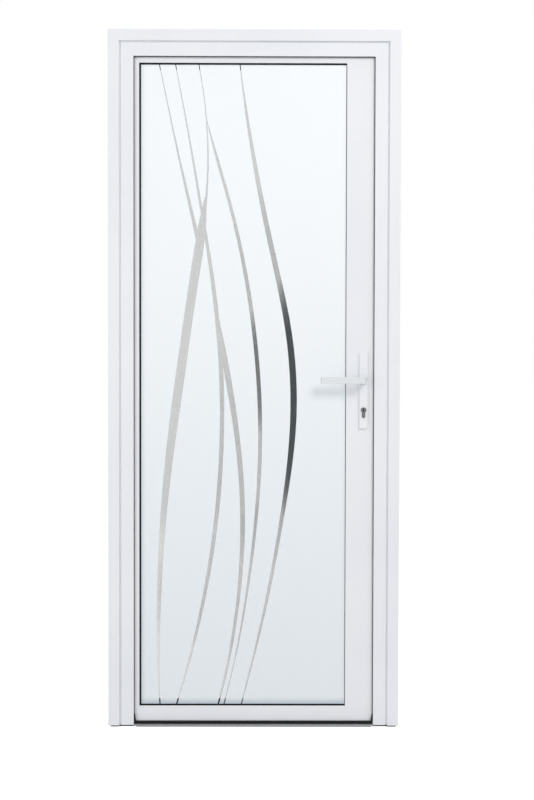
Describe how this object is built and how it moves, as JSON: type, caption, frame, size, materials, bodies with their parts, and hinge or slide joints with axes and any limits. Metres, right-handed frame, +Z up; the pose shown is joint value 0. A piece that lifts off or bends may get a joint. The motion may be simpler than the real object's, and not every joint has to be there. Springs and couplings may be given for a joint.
{
  "type": "aluminium front door",
  "caption": "Inward-opening glazed metal front door in its frame, with a frosted full-height pane, a lever handle set and a low threshold.",
  "frame": {"origin": "middle of the threshold's underside, halfway through the frame's depth", "axes": "+X to the right seen from outside, +Y from outside to inside, +Z up"},
  "size_m": [0.9, 0.172, 2.15],
  "materials": {
    "white_coat": "satin powder coat",
    "anodised_aluminium": "satin anodised",
    "black_rubber": "matte",
    "black_plastic": "matte",
    "steel": "brushed",
    "nickel": "satin nickel",
    "clear_glass": "polished",
    "frosted_glass": "satin etched"
  },
  "bodies": {
    "frame": {"hinge_jamb": "white_coat", "lock_jamb": "white_coat", "head": "white_coat", "frame_cores": "black_plastic", "hinge_jamb_trim": "white_coat", "lock_jamb_trim": "white_coat", "head_trim": "white_coat", "strike_plate": "steel", "stop_seals": "black_rubber", "threshold": "anodised_aluminium", "threshold_insert": "black_plastic", "threshold_seal": "black_rubber", "corner_seals": "black_rubber", "foot_pads": "black_plastic", "hinge_frame_halves": "white_coat", "hinge_pins": "steel"},
    "leaf": {"hinge_stile": "white_coat", "lock_stile": "white_coat", "top_rail": "white_coat", "bottom_rail": "white_coat", "leaf_cores": "black_plastic", "bottom_sweep": "black_rubber", "lock_faceplate": "steel", "latch_bolt": "steel", "dead_bolt": "steel", "lock_cylinder": "nickel", "frosted_layer": "frosted_glass", "outer_pane": "clear_glass", "inner_pane": "clear_glass", "spacer_frame": "black_plastic", "outer_gasket": "black_rubber", "inner_gasket": "black_rubber", "side_beads": "white_coat", "cross_beads": "white_coat", "outer_plate": "white_coat", "inner_plate": "white_coat", "hinge_leaf_halves": "white_coat"},
    "handle": {"outer_lever": "white_coat", "inner_lever": "white_coat", "spindle": "steel"}
  },
  "joints": [
    {"name": "leaf_hinge", "type": "hinge", "parent": "frame", "child": "leaf", "pos_m": [-0.3885, 0.052, 0], "axis": [0, 0, 1], "range_deg": [0, 110]},
    {"name": "lever_turn", "type": "hinge", "parent": "leaf", "child": "handle", "pos_m": [0.339, 0, 1.076], "axis": [0, -1, 0], "range_deg": [0, 40], "stiffness_Nm_per_rad": 1.5, "springref_deg": -28.65}
  ]
}
